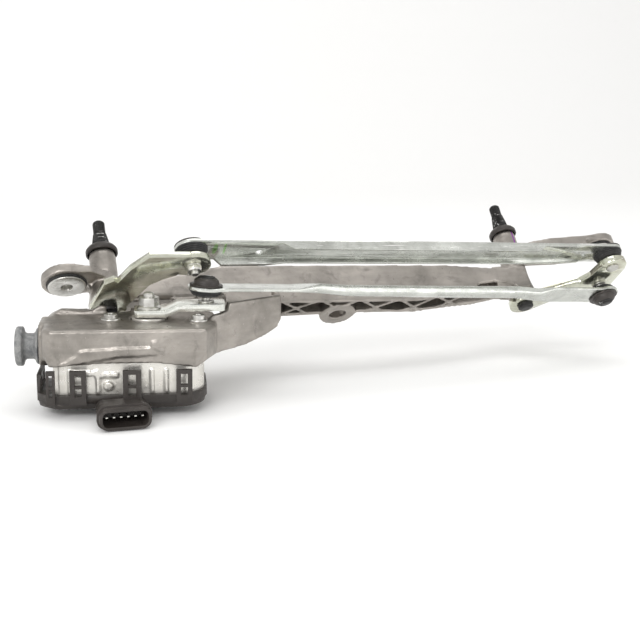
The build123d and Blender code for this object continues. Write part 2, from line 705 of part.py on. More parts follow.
def build_electronics():
    save(gear_housing(), "gear_housing")
    save(control_cover(), "control_cover")
    with BuildPart() as board:
        with BuildSketch(motor(HOUSING_BOTTOM - 1.8)):
            with BuildLine():
                cover_outline()
            make_face()
            offset(amount=-5.0, mode=Mode.REPLACE)
        extrude(amount=-1.6)
    save(board, "circuit_board")
    with BuildPart() as pins:
        for i in range(PIN_COUNT):
            at = SOCKET_MOUTH + Vector((i - (PIN_COUNT - 1) / 2) * 5.0, 0, 0)
            with BuildSketch(Plane(origin=at + Vector(0, 6, 0), x_dir=X, z_dir=(0, -1, 0))):
                Rectangle(1.5, 0.8)
            extrude(amount=-(SOCKET_LONG - 8))
    save(pins, "connector_pins")
    with BuildPart() as screws:
        for x, y in SCREW_SPOTS[:2]:
            add(turned(motor(CARRIER_TOP + 0.8, x, y), [
                (0, 2.8), (2.2, 2.8), (2.2, 4.0), (4.4, 4.0), (4.8, 3.5), (4.8, 1.2), (7.0, 0.8),
                (7.2, 0.0), (SCREW_R, 0.0), (SCREW_R, -22.0), (0, -22.5),
            ]))
    save(screws, "housing_screws")


# ---- spindles, levers and links -----------------------------------------------------------
def spindle(hub, tube, tip):
    """Spindle with a riveted foot, a knurled cone and a thread."""
    cone = tube + 8.0
    thread = tip - 12.0
    grooves = []
    turns = int((tip - thread - 2.0) / THREAD_PITCH)
    for i in range(turns):
        at = thread + 0.8 + i * THREAD_PITCH
        grooves += [(THREAD_R, at), (THREAD_ROOT, at + 0.6), (THREAD_R, at + 1.2)]
    profile = [
        (0, -8.0), (6.5, -8.0), (7.0, -7.0), (7.0, -5.0), (SPINDLE_R, -5.0), (SPINDLE_R, cone - 1),
        (6.8, cone), (6.8, cone + 1.0), (5.3, thread), *grooves, (THREAD_R, tip - 1.0), (4.0, tip),
        (0, tip),
    ]
    return turned(level(hub, 0), profile)


def collar_cap(hub, tube):
    """Black cap that turns with the spindle and covers the top of the tube."""
    return turned(level(hub, tube), [
        (SPINDLE_R, 2.0), (TUBE_R + 0.5, 2.0), (TUBE_R + 0.5, -2.0), (CAP_R - 0.6, -2.0),
        (CAP_R, -1.4), (CAP_R, 1.8), (CAP_R - 1.6, 4.0), (8.0, 6.4), (SPINDLE_R, 6.8),
    ])


def pivot_set(side, hub, tube, tip):
    save_solid(spindle(hub, tube, tip), f"{side}_spindle")
    save_solid(collar_cap(hub, tube), f"{side}_collar_cap")
    with BuildPart() as bushes:
        for low in (2.5, tube - 14.0):
            add(disc(level(hub, low), BUSH_R, 11.5, SPINDLE_R + BUSH_CLEAR))
    save(bushes, f"{side}_pivot_bushes")
    save_solid(disc(level(hub, tube - 2.3), BUSH_R, 1.1, SPINDLE_R + GAP), f"{side}_spindle_seal")
    save_solid(disc(level(hub, 0.4), 10.0, 1.2, SPINDLE_R), f"{side}_thrust_washer")
    save_solid(disc(level(hub, tube - 0.6), 7.6, 1.2, SPINDLE_R), f"{side}_retaining_ring")


def ball_stud(place, height, radius):
    """Ball stud riveted through a plate, its ball centre at the place."""
    reach = (radius ** 2 - 3.0 ** 2) ** 0.5
    with BuildPart() as made:
        add(turned(place, [
            (0, -height - LEVER_THICK - 1.6), (4.6, -height - LEVER_THICK - 1.6),
            (5.4, -height - LEVER_THICK - 0.6), (5.4, -height - LEVER_THICK),
            (STUD_R, -height - LEVER_THICK), (STUD_R, -height), (6.0, -height),
            (6.0, -height + 1.2), (3.0, -height + 1.4), (3.0, -reach), (0, -reach),
        ]))
        with Locations(place):
            Sphere(radius)
    return made


def plate_hole(place, height):
    return disc(place.offset(-height - LEVER_THICK - 3), STUD_R, LEVER_THICK + 6)


def left_lever():
    """Dog-legged lever plate of the near spindle."""
    with BuildPart() as made:
        with BuildSketch(level(LEFT_HUB, -LEVER_THICK)):
            Circle(14)
            with Locations(UPPER_BALL):
                Circle(13)
            with BuildLine():
                Polyline((-13, -6), (-6, -38), (1, -43), (4, -40), (12, -58), (24, -74),
                         (54, -73), (70, -65), (62, -47.7), (48, -48.5), (38, -43), (28, -35),
                         (22, -22),
                         (13.5, -4), close=True)
            make_face()
        extrude(amount=LEVER_THICK)
        with BuildSketch(level(LEFT_HUB, 0)):
            with BuildLine():
                Polyline((5, -24), (13, -26), (27, -48), (44, -58), (42, -63), (24, -56),
                         close=True)
            make_face()
        extrude(amount=1.2)
        add(disc(level(LEFT_HUB, -8), SPINDLE_R, 12), mode=Mode.SUBTRACT)
        add(plate_hole(LEFT_BALL, UPPER_STUD_HEIGHT), mode=Mode.SUBTRACT)
    return made


def right_lever():
    """Lever plate of the far spindle, which carries a ball stud on each face."""
    with BuildPart() as made:
        with BuildSketch(level(RIGHT_HUB, -LEVER_THICK)):
            Circle(14)
            for spot in (UPPER_BALL, LOWER_BALL):
                with Locations(spot):
                    Circle(12.5)
            with BuildLine():
                Polyline((-2, -14), (26, -31), (38, -37), (44, -46), (46, -64), (54, -72.5),
                         (67, -68.5), (72, -58), (72.5, -30), (66, -19), (52, -20), (28, -8),
                         (8, 11.5), close=True)
            make_face()
            fillet([v for v in vertices() if 30 < v.X < 45.5 and v.Y < -30], 6)
        extrude(amount=LEVER_THICK)
        add(disc(level(RIGHT_HUB, -8), SPINDLE_R, 12), mode=Mode.SUBTRACT)
        add(plate_hole(RIGHT_BALL, UPPER_STUD_HEIGHT), mode=Mode.SUBTRACT)
        add(plate_hole(LOW_BALL, STUD_HEIGHT), mode=Mode.SUBTRACT)
    return made


def socket_cap(place, hollow, high):
    """Pressed socket over a ball, its flange on the far face of the link."""
    base = LINK_RISE + LINK_THICK
    with BuildPart() as made:
        add(turned(place, [
            (0, base), (FLANGE_R - 0.6, base), (FLANGE_R, base + 0.6), (FLANGE_R, base + 1.4),
            (DOME_R + 0.8, base + 1.6), (DOME_R + 0.4, high - 2.0), (DOME_R - 1.4, high - 0.4),
            (DOME_R - 2.2, high), (0, high),
        ]))
        with Locations(place):
            Sphere(hollow, mode=Mode.SUBTRACT)
    return made


def boot(place, mouth, depth, waist):
    """Rubber boot under the link, with two folds."""
    top = LINK_RISE - 0.02
    return turned(place, [
        (SOCKET_R + 0.6, top), (FLANGE_R, top), (FLANGE_R, top - 1.2), (FLANGE_R - 1.2, top - 2.0),
        (FLANGE_R - 0.4, top - 2.8), (waist + 1.2, depth + 0.4), (waist, depth), (mouth, depth),
        (mouth, depth + 0.8), (SOCKET_R + 0.6, top - 1.6),
    ])


def link_frame(start, end, up):
    """Frame along a link from one ball to the other, its normal nearest to `up`."""
    along = (end.origin - start.origin).normalized()
    side = up.cross(along).normalized()
    return along, side, (end.origin - start.origin).length


def upper_link():
    """Flat strip with turned-up edges between its ends."""
    along, side, length = link_frame(LEFT_BALL, RIGHT_BALL, S)
    base = Plane(origin=LEFT_BALL.origin, x_dir=along, z_dir=S)
    with BuildPart() as made:
        with BuildSketch(base.offset(LINK_RISE)):
            with Locations((length / 2, 0)):
                SlotCenterToCenter(length, LINK_WIDTH + 3)
            with Locations((0, 0), (length, 0)):
                Circle(SOCKET_R + 0.5, mode=Mode.SUBTRACT)
            with Locations((54, 2)):
                Circle(3.0, mode=Mode.SUBTRACT)
            with Locations((length - 24, 2)):
                Circle(2.0, mode=Mode.SUBTRACT)
        extrude(amount=LINK_THICK)
        for edge, deep in UPPER_EDGES:
            outer = base.origin + side * edge * (LINK_WIDTH + 3) / 2
            with BuildSketch(Plane(origin=outer, x_dir=along, z_dir=-side)):
                with BuildLine():
                    Polyline(*deep, (deep[-1][0], LINK_RISE + 1), (deep[0][0], LINK_RISE + 1),
                             close=True)
                make_face()
            extrude(amount=edge * LINK_THICK)
        with BuildSketch(base.offset(LINK_RISE + LINK_THICK)):
            with Locations((length / 2 + 4, 0)):
                SlotOverall(length - 112, 9)
        extrude(amount=1.6)
    return made


def lower_link():
    """Strip whose two flat ends are twisted to face their own ball studs."""
    start = CRANK_BALL
    end = LOW_BALL
    along = (end.origin - start.origin).normalized()
    length = (end.origin - start.origin).length

    def section(at, turn, high):
        """Plane across the link at a distance, turned about it from the crank end's normal."""
        up = Vector(0, 0, 1)
        flat = (up - along * up.dot(along)).normalized()
        side = flat.cross(along).normalized()
        tilt = radians(turn)
        normal = flat * cos(tilt) + side * sin(tilt)
        return Plane(origin=start.origin + along * at + normal * high, x_dir=normal, z_dir=along)

    far = end.z_dir * -1
    flat = (Vector(0, 0, 1) - along * along.Z).normalized()
    side = flat.cross(along).normalized()
    far_flat = (far - along * far.dot(along)).normalized()
    twist = degrees(atan2(far_flat.dot(side), far_flat.dot(flat)))
    near_mid = LINK_RISE + LINK_THICK / 2
    far_mid = -near_mid
    with BuildPart() as made:
        for stations in (
            ((12, 0.0, near_mid, LINK_THICK, LINK_WIDTH), (72, 0.0, near_mid, LINK_THICK, LINK_WIDTH)),
            ((72, 0.0, near_mid, LINK_THICK, LINK_WIDTH), (92, 0.2, near_mid, 7.5, 14.0),
             (115, 0.35, 0.5, 8.5, 12.5)),
            ((115, 0.35, 0.5, 8.5, 12.5), (length / 2, 0.5, 0.0, 8.5, 12.5),
             (length - 92, 0.75, 0.0, 8.5, 12.5)),
            ((length - 92, 0.75, 0.0, 8.5, 12.5), (length - 72, 0.9, far_mid, 7.0, 14.0),
             (length - 58, 1.0, far_mid, LINK_THICK, LINK_WIDTH)),
            ((length - 58, 1.0, far_mid, LINK_THICK, LINK_WIDTH),
             (length - 12, 1.0, far_mid, LINK_THICK, LINK_WIDTH)),
        ):
            for at, share, high, thick, wide in stations:
                with BuildSketch(section(at, twist * share, high)):
                    RectangleRounded(thick, wide, thick * 0.38)
            loft(ruled=True)
        with BuildSketch(Plane(origin=start.origin + flat * LINK_RISE, x_dir=along, z_dir=flat)):
            Circle(FLANGE_R + 1.0)
            with Locations((7, 0)):
                Rectangle(14, LINK_WIDTH)
        extrude(amount=LINK_THICK)
        with BuildSketch(Plane(origin=end.origin - far_flat * LINK_RISE, x_dir=along,
                               z_dir=-far_flat)):
            Circle(FLANGE_R + 1.0)
            with Locations((-7, 0)):
                Rectangle(14, LINK_WIDTH)
        extrude(amount=LINK_THICK)
        with Locations(Location(start.origin), Location(end.origin)):
            Sphere(SOCKET_R + 0.5, mode=Mode.SUBTRACT)
    return made, flat, far_flat, along


def crank_arm():
    """Joggled crank plate, clamped on the output shaft's taper."""
    low = CRANK_HUB_Z
    high = low + CRANK_JOGGLE
    with BuildPart() as made:
        with BuildSketch(motor_front(20)):
            with BuildLine():
                Polyline((-16, low), (12, low), (22, high), (58, high), (58, high + CRANK_THICK),
                         (21, high + CRANK_THICK), (11, low + CRANK_THICK),
                         (-16, low + CRANK_THICK), close=True)
            make_face()
            fillet([v for v in vertices() if 8 < v.X < 25], 4)
        extrude(amount=40)
        with BuildSketch(motor(low - 1)):
            with Locations((CRANK_R / 2 + 1.5, 0)):
                RectangleRounded(CRANK_R + 25, 2 * CRANK_HALF, 4)
        extrude(amount=14, mode=Mode.INTERSECT)
        add(turned(motor(0), [(0, low - 1), (SHAFT_OUT_R, low - 1), (SHAFT_OUT_R, low),
                              (SHAFT_OUT_R - 0.8, low + CRANK_THICK),
                              (SHAFT_OUT_R - 0.8, low + CRANK_THICK + 1),
                              (0, low + CRANK_THICK + 1)]), mode=Mode.SUBTRACT)
        add(plate_hole(CRANK_BALL, STUD_HEIGHT), mode=Mode.SUBTRACT)
    return made


def crank_nut():
    base = CRANK_HUB_Z + CRANK_THICK
    with BuildPart() as made:
        add(turned(motor(base), [(4.0, 0), (9.0, 0), (9.0, 1.2), (7.2, 2.4), (4.0, 2.4)]))
        with BuildSketch(motor(base + 2.0)):
            RegularPolygon(6.5, 6, major_radius=False)
            Circle(4.0, mode=Mode.SUBTRACT)
        extrude(amount=6.5)
    return made


def ball_seat():
    """Thin plastic seat between the crank ball and its socket."""
    place = Plane(origin=CRANK_BALL.origin, x_dir=X, z_dir=SEAT_AXIS)
    with BuildPart() as made:
        with Locations(place):
            Sphere(SOCKET_R - 0.3)
            Sphere(BALL_R + 0.3, mode=Mode.SUBTRACT)
        add(disc(place.offset(4.2), 20, -40), mode=Mode.SUBTRACT)
    return made


def build_linkage():
    pivot_set("left", LEFT_HUB, LEFT_TUBE, LEFT_TIP)
    pivot_set("right", RIGHT_HUB, RIGHT_TUBE, RIGHT_TIP)
    save(left_lever(), "left_lever")
    save(right_lever(), "right_lever")
    save(ball_stud(LEFT_BALL, UPPER_STUD_HEIGHT, BALL_R), "left_lever_ball_stud")
    save(ball_stud(RIGHT_BALL, UPPER_STUD_HEIGHT, BALL_R), "right_lever_upper_ball_stud")
    save(ball_stud(LOW_BALL, STUD_HEIGHT, OPEN_BALL_R), "right_lever_lower_ball_stud")
    save(ball_stud(CRANK_BALL, STUD_HEIGHT, BALL_R), "crank_ball_stud")
    save(crank_arm(), "crank_arm")
    save(crank_nut(), "crank_nut")
    save(ball_seat(), "crank_ball_seat")
    save(upper_link(), "upper_link")
    for side, place in (("left", LEFT_BALL), ("right", RIGHT_BALL)):
        save(socket_cap(place, BALL_R + GAP, UPPER_DOME), f"upper_link_{side}_socket")
        save_solid(boot(place, 6.8, -5.6, 9.0), f"upper_link_{side}_boot")
    link, flat, far_flat, along = lower_link()
    save(link, "lower_link")
    near = Plane(origin=CRANK_BALL.origin, x_dir=along, z_dir=flat)
    far = Plane(origin=LOW_BALL.origin, x_dir=along, z_dir=-far_flat)
    for side, place in (("crank", near), ("lever", far)):
        save(socket_cap(place, SOCKET_R, LOWER_DOME), f"lower_link_{side}_socket")
        save_solid(boot(place, 8.2, -3.6, 9.6), f"lower_link_{side}_boot")


save(build_frame(), "cast_frame")
build_fixed_mounts()
build_motor()
build_electronics()
build_linkage()
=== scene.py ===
import bpy
import bmesh
import json
import numpy as np
from math import cos, pi, radians, sin
from mathutils import Matrix, Vector


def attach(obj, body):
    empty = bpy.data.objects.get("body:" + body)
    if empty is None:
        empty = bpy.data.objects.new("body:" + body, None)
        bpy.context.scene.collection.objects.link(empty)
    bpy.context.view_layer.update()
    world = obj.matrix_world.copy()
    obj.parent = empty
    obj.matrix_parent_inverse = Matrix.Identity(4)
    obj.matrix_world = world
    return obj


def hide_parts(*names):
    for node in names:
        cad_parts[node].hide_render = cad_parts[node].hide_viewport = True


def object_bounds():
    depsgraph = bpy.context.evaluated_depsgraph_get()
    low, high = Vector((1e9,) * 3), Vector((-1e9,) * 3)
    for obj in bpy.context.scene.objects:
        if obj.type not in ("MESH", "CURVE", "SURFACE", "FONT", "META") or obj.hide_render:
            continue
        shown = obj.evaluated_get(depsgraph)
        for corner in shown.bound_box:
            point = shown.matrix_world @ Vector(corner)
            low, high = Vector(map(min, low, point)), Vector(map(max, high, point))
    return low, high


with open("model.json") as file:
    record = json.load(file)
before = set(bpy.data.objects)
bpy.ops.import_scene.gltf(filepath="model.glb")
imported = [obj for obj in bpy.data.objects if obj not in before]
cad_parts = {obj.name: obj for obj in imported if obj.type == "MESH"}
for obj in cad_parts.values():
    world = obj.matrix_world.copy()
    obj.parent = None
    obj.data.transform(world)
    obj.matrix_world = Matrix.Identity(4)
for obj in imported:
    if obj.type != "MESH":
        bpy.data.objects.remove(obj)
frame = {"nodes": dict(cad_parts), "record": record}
cad_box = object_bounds()
NODES = frame["nodes"]
scene = bpy.context.scene

# ---- camera: the photograph's viewing angle ------------------------------------------------
CAMERA_AT = Vector((-0.0650, -0.8140, 0.1587))
CAMERA_YAW = 18.5       # degrees that it looks to the right of the row's +Y
CAMERA_DOWN = 13.2      # degrees below level
CAMERA_ROLL = 1.3       # degrees
CAMERA_LENS = 58.85     # mm
CAMERA_SENSOR = 36.0    # mm


def make_camera():
    yaw, down, roll = radians(CAMERA_YAW), radians(CAMERA_DOWN), radians(CAMERA_ROLL)
    look = Vector((sin(yaw) * cos(down), cos(yaw) * cos(down), -sin(down)))
    right = look.cross(Vector((0, 0, 1))).normalized()
    up = right.cross(look)
    tilted = right * cos(roll) + up * sin(roll)
    over = tilted.cross(look)
    data = bpy.data.cameras.new("camera")
    data.lens = CAMERA_LENS
    data.sensor_width = CAMERA_SENSOR
    data.clip_start = 0.01
    data.clip_end = 50
    camera = bpy.data.objects.new("camera", data)
    turn = Matrix((tilted, over, -look)).transposed()
    camera.matrix_world = Matrix.Translation(CAMERA_AT) @ turn.to_4x4()
    scene.collection.objects.link(camera)
    scene.camera = camera


# ---- stage, in metres ----------------------------------------------------------------------
FLOOR_GAP = 0.0003      # keeps the connector's flat underside off the floor
FLOOR_FRONT = -3.0
FLOOR_SIDES = (-4.0, 4.5)
BEND_FROM = 1.2         # y where the floor starts to curve up
BEND_RADIUS = 0.9
BEND_STEPS = 12
BACKDROP_TOP = 4.0


def shade_smooth(mesh):
    for face in mesh.polygons:
        face.use_smooth = True


def make_stage():
    """Pale floor that curves up into a backdrop behind the part."""
    low = cad_box[0].z - FLOOR_GAP
    mesh = bpy.data.meshes.new("floor")
    made = bmesh.new()
    profile = [(FLOOR_FRONT, 0.0), (BEND_FROM, 0.0)]
    for i in range(1, BEND_STEPS + 1):
        a = i / BEND_STEPS * pi / 2
        profile.append((BEND_FROM + BEND_RADIUS * sin(a), BEND_RADIUS * (1 - cos(a))))
    profile.append((BEND_FROM + BEND_RADIUS, BACKDROP_TOP))
    rows = []
    for x in FLOOR_SIDES:
        rows.append([made.verts.new((x, y, low + z)) for y, z in profile])
    for i in range(len(profile) - 1):
        made.faces.new((rows[0][i], rows[1][i], rows[1][i + 1], rows[0][i + 1]))
    made.to_mesh(mesh)
    made.free()
    shade_smooth(mesh)
    floor = bpy.data.objects.new("floor", mesh)
    scene.collection.objects.link(floor)
    mat = bpy.data.materials.new("floor_paper")
    mat.use_nodes = True
    shader = mat.node_tree.nodes["Principled BSDF"]
    shader.inputs["Base Color"].default_value = (0.94, 0.94, 0.935, 1)
    shader.inputs["Roughness"].default_value = 0.9
    shader.inputs["Specular IOR Level"].default_value = 0.1
    mesh.materials.append(mat)


def area_light(name, at, aim, size, power):
    """White rectangular light at a place, aimed at another; size in metres, power in watts."""
    data = bpy.data.lights.new(name, "AREA")
    data.shape = "RECTANGLE"
    data.size, data.size_y = size
    data.energy = power
    light = bpy.data.objects.new(name, data)
    light.location = at
    light.rotation_euler = (Vector(aim) - Vector(at)).to_track_quat("-Z", "Y").to_euler()
    scene.collection.objects.link(light)


def make_lights():
    area_light("key", (-0.9, -1.5, 1.1), (0.2, 0, 0), (1.2, 0.6), 17)
    area_light("fill", (1.5, -1.2, 0.5), (0.25, 0, 0), (1.0, 1.0), 4)
    area_light("top", (0.2, 0.2, 1.9), (0.2, 0.05, 0), (1.8, 1.0), 10)
    world = bpy.data.worlds.new("world")
    scene.world = world
    world.use_nodes = True
    back = world.node_tree.nodes["Background"]
    back.inputs["Color"].default_value = (1.0, 0.995, 0.985, 1)
    back.inputs["Strength"].default_value = 0.82


# ---- materials -----------------------------------------------------------------------------
SPOT_EDGE = 0.35        # raggedness of a paint mark's edge, in half sizes


def new_material(name):
    """Material with its node tree, its shader and the object's own coordinates."""
    mat = bpy.data.materials.new(name)
    mat.use_nodes = True
    tree = mat.node_tree
    shader = tree.nodes["Principled BSDF"]
    where = tree.nodes.new("ShaderNodeTexCoord").outputs["Object"]
    return mat, tree, shader, where


def link(tree, out, into):
    tree.links.new(out, into)


def stretched(tree, where, scale, turn=(0, 0, 0)):
    """Coordinates scaled by axis, which draws a noise out into streaks."""
    node = tree.nodes.new("ShaderNodeMapping")
    node.inputs["Scale"].default_value = scale
    node.inputs["Rotation"].default_value = turn
    link(tree, where, node.inputs["Vector"])
    return node.outputs["Vector"]


def noise(tree, where, scale, detail=3.0, rough=0.55, lean=0.0):
    node = tree.nodes.new("ShaderNodeTexNoise")
    node.inputs["Scale"].default_value = scale
    node.inputs["Detail"].default_value = detail
    node.inputs["Roughness"].default_value = rough
    node.inputs["Distortion"].default_value = lean
    link(tree, where, node.inputs["Vector"])
    return node.outputs["Fac"]


def ramp(tree, fac, stops):
    """Colour ramp through (place, grey or colour) stops."""
    node = tree.nodes.new("ShaderNodeValToRGB")
    points = node.color_ramp.elements
    while len(points) < len(stops):
        points.new(0.5)
    for point, (at, value) in zip(points, stops):
        point.position = at
        point.color = (value, value, value, 1) if isinstance(value, float) else (*value, 1)
    link(tree, fac, node.inputs["Fac"])
    return node.outputs["Color"]


def blend(tree, fac, a, b, kind="MIX"):
    """Mix of two colours, each a value or a node's output."""
    node = tree.nodes.new("ShaderNodeMix")
    node.data_type = "RGBA"
    node.blend_type = kind
    for socket, value in (("Factor_Float", fac), ("A_Color", a), ("B_Color", b)):
        into = next(s for s in node.inputs if s.identifier == socket)
        if isinstance(value, bpy.types.NodeSocket):
            link(tree, value, into)
        elif socket == "Factor_Float":
            into.default_value = value
        else:
            into.default_value = (*value, 1)
    return next(s for s in node.outputs if s.identifier == "Result_Color")


def bump(tree, shader, layers):
    """Chain of bump nodes, one for each (height output, depth in metres, strength) layer."""
    normal = None
    for height, depth, strength in layers:
        node = tree.nodes.new("ShaderNodeBump")
        node.inputs["Distance"].default_value = depth
        node.inputs["Strength"].default_value = strength
        link(tree, height, node.inputs["Height"])
        if normal:
            link(tree, normal, node.inputs["Normal"])
        normal = node.outputs["Normal"]
    link(tree, normal, shader.inputs["Normal"])


def spot(tree, where, at, size):
    """Mask that is 1 within the given half sizes of a place, with a ragged edge."""
    centre = tree.nodes.new("ShaderNodeVectorMath")
    centre.operation = "SUBTRACT"
    centre.inputs[1].default_value = at
    link(tree, where, centre.inputs[0])
    scaled = tree.nodes.new("ShaderNodeVectorMath")
    scaled.operation = "DIVIDE"
    scaled.inputs[1].default_value = size
    link(tree, centre.outputs[0], scaled.inputs[0])
    length = tree.nodes.new("ShaderNodeVectorMath")
    length.operation = "LENGTH"
    link(tree, scaled.outputs[0], length.inputs[0])
    ragged = tree.nodes.new("ShaderNodeMath")
    ragged.operation = "MULTIPLY_ADD"
    ragged.inputs[1].default_value = SPOT_EDGE * 2
    link(tree, noise(tree, where, 500, 4), ragged.inputs[0])
    link(tree, length.outputs["Value"], ragged.inputs[2])
    return ramp(tree, ragged.outputs[0],
                [(0.0, 1.0), (0.9 + SPOT_EDGE, 1.0), (0.98 + SPOT_EDGE, 0.0)])


def cast_metal(name, light, dark, rough, metal, stains, marks=()):
    """Blasted die casting: cloudy tone, fine grain, flow lines, scratches and darker stains."""
    mat, tree, shader, where = new_material(name)
    cloud = noise(tree, where, 22, 5, 0.6, 0.4)
    colour = ramp(tree, cloud, [(0.3, dark), (0.68, light)])
    flow = noise(tree, stretched(tree, where, (18, 90, 90), (0, 0, 0.3)), 1.0, 4, 0.6)
    flow_tone = ramp(tree, flow, [(0.35, (0.30, 0.29, 0.28)), (0.7, (0.95, 0.93, 0.91))])
    colour = blend(tree, 0.22, colour, flow_tone, "OVERLAY")
    stain = ramp(tree, noise(tree, where, 75, 6, 0.7, 0.8), [(0.56, 0.0), (0.72, 1.0)])
    stained = blend(tree, stains, (0, 0, 0), stain)
    colour = blend(tree, stained, colour, tuple(c * 0.55 for c in dark))
    scratch = noise(tree, stretched(tree, where, (900, 60, 500), (0.4, 0.2, 0.9)), 1.0, 2, 0.5)
    scratched = ramp(tree, scratch, [(0.69, 0.0), (0.76, 0.55)])
    colour = blend(tree, scratched, colour, tuple(min(1.0, c * 1.25) for c in light))
    for at, size, paint in marks:
        colour = blend(tree, spot(tree, where, at, size), colour, paint)
    link(tree, colour, shader.inputs["Base Color"])
    shader.inputs["Metallic"].default_value = metal
    link(tree, ramp(tree, noise(tree, where, 160, 4), [(0.3, rough - 0.09), (0.7, rough + 0.13)]),
         shader.inputs["Roughness"])
    fine = noise(tree, where, 1500, 3, 0.6)
    orange = noise(tree, where, 260, 2, 0.5)
    bump(tree, shader, [(orange, 0.00035, 0.35), (fine, 0.00012, 0.5), (scratch, 0.00006, 0.25)])
    return mat


def plated_metal(name, light, dark, rough, metal, tint=None, along=(40, 900, 900), marks=(),
                 rust=0.0):
    """Rolled or turned metal, mostly plated: drawn grain, cloudy tone, scratches, dull patches."""
    mat, tree, shader, where = new_material(name)
    tone = noise(tree, where, 30, 4, 0.6, 1.2)
    stops = [(0.32, dark), (0.62, light)]
    if tint:
        stops = [(0.30, dark), (0.5, tint), (0.68, light)]
    colour = ramp(tree, tone, stops)
    grain = noise(tree, stretched(tree, where, along), 1.0, 3, 0.6)
    grain_tone = ramp(tree, grain, [(0.3, (0.3, 0.3, 0.3)), (0.7, (0.8, 0.8, 0.8))])
    colour = blend(tree, 0.2, colour, grain_tone, "OVERLAY")
    scratch = noise(tree, stretched(tree, where, (25, 700, 700), (0, 0.05, 0.12)), 1.0, 2, 0.4)
    scratched = ramp(tree, scratch, [(0.67, 0.0), (0.70, 0.85)])
    colour = blend(tree, scratched, colour, (0.93, 0.93, 0.9))
    dull = ramp(tree, noise(tree, where, 60, 6, 0.7, 0.6), [(0.58, 0.0), (0.78, 0.4)])
    colour = blend(tree, dull, colour, tuple(c * 0.75 for c in dark))
    if rust:
        brown = ramp(tree, noise(tree, where, 190, 6, 0.7), [(0.66, 0.0), (0.78, rust)])
        colour = blend(tree, brown, colour, (0.23, 0.15, 0.09))
    for at, size, paint in marks:
        colour = blend(tree, spot(tree, where, at, size), colour, paint)
    link(tree, colour, shader.inputs["Base Color"])
    shader.inputs["Metallic"].default_value = metal
    dullness = ramp(tree, noise(tree, where, 90, 5, 0.6),
                    [(0.3, rough - 0.08), (0.7, rough + 0.16)])
    link(tree, dullness, shader.inputs["Roughness"])
    bump(tree, shader, [(noise(tree, where, 70, 2), 0.0003, 0.12), (grain, 0.00003, 0.3),
                        (scratch, 0.00005, 0.25)])
    return mat


def moulded_plastic(name, base, rough=0.42, dust=0.35, grain=1.0):
    """Moulded plastic: fine eroded texture, dusty clouds and pale scuffs."""
    mat, tree, shader, where = new_material(name)
    cloud = ramp(tree, noise(tree, where, 45, 5, 0.65), [(0.4, 0.0), (0.75, dust)])
    pale = tuple(min(1.0, c * 2.6 + 0.03) for c in base)
    colour = blend(tree, cloud, base, pale)
    scuff = noise(tree, stretched(tree, where, (90, 800, 300), (0.3, 0.8, 0.2)), 1.0, 2, 0.4)
    colour = blend(tree, ramp(tree, scuff, [(0.68, 0.0), (0.74, 0.6)]), colour,
                   tuple(min(1.0, c * 4 + 0.05) for c in base))
    link(tree, colour, shader.inputs["Base Color"])
    link(tree, ramp(tree, noise(tree, where, 130, 4), [(0.3, rough - 0.08), (0.7, rough + 0.15)]),
         shader.inputs["Roughness"])
    bump(tree, shader, [(noise(tree, where, 2200, 2), 0.00008, 0.6 * grain),
                        (noise(tree, where, 200, 2), 0.0002, 0.15 * grain)])
    return mat


def moulded_rubber(name, base, pale, rough=0.62, mottle=0.6):
    """Matt rubber, and ferrite: a mottled bloom, pale specks and a slight sheen."""
    mat, tree, shader, where = new_material(name)
    bloom = ramp(tree, noise(tree, where, 140, 6, 0.7, 0.5), [(0.4, 0.0), (0.72, mottle)])
    colour = blend(tree, bloom, base, pale)
    specks = ramp(tree, noise(tree, where, 900, 3), [(0.66, 0.0), (0.74, 0.7)])
    colour = blend(tree, specks, colour, pale)
    link(tree, colour, shader.inputs["Base Color"])
    link(tree, ramp(tree, noise(tree, where, 220, 4), [(0.3, rough - 0.1), (0.7, rough + 0.15)]),
         shader.inputs["Roughness"])
    shader.inputs["Sheen Weight"].default_value = 0.08
    bump(tree, shader, [(noise(tree, where, 1300, 3), 0.0001, 0.5),
                        (noise(tree, where, 170, 2), 0.0003, 0.25)])
    return mat


# ---- geometry helpers ----------------------------------------------------------------------
MM = 0.001
LEAN = Vector((0.0, 0.66913, 0.74314))       # direction of both spindles
HUBS = {"left": Vector((0.030, -0.01054, -0.01843)),
        "right": Vector((0.40504, 0.00944, -0.03642))}
WELD_WITHIN = 0.00002   # m, well under the smallest detail
BEVEL_OVER = 34         # degrees between faces before an edge is rounded


def weld(obj):
    """Joins the CAD mesh's doubled vertices, so that its edges can be found."""
    obj.modifiers.new("weld", "WELD").merge_threshold = WELD_WITHIN


def body_of(node):
    return next(b for b, names in frame["record"]["behaviour"]["bodies"].items() if node in names)


def add_piece(mesh, name, body, slot_name, stands_for=()):
    """Piece that only this script makes, on a body, in place of the CAD nodes it stands for."""
    piece = bpy.data.objects.new(name, mesh)
    scene.collection.objects.link(piece)
    mesh.materials.clear()
    mesh.materials.append(finishes[slot_name])
    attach(piece, body)
    if stands_for:
        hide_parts(*stands_for)


def frozen(obj):
    """Mesh of an object with its modifiers applied."""
    bpy.context.view_layer.update()
    depsgraph = bpy.context.evaluated_depsgraph_get()
    return bpy.data.meshes.new_from_object(obj.evaluated_get(depsgraph))


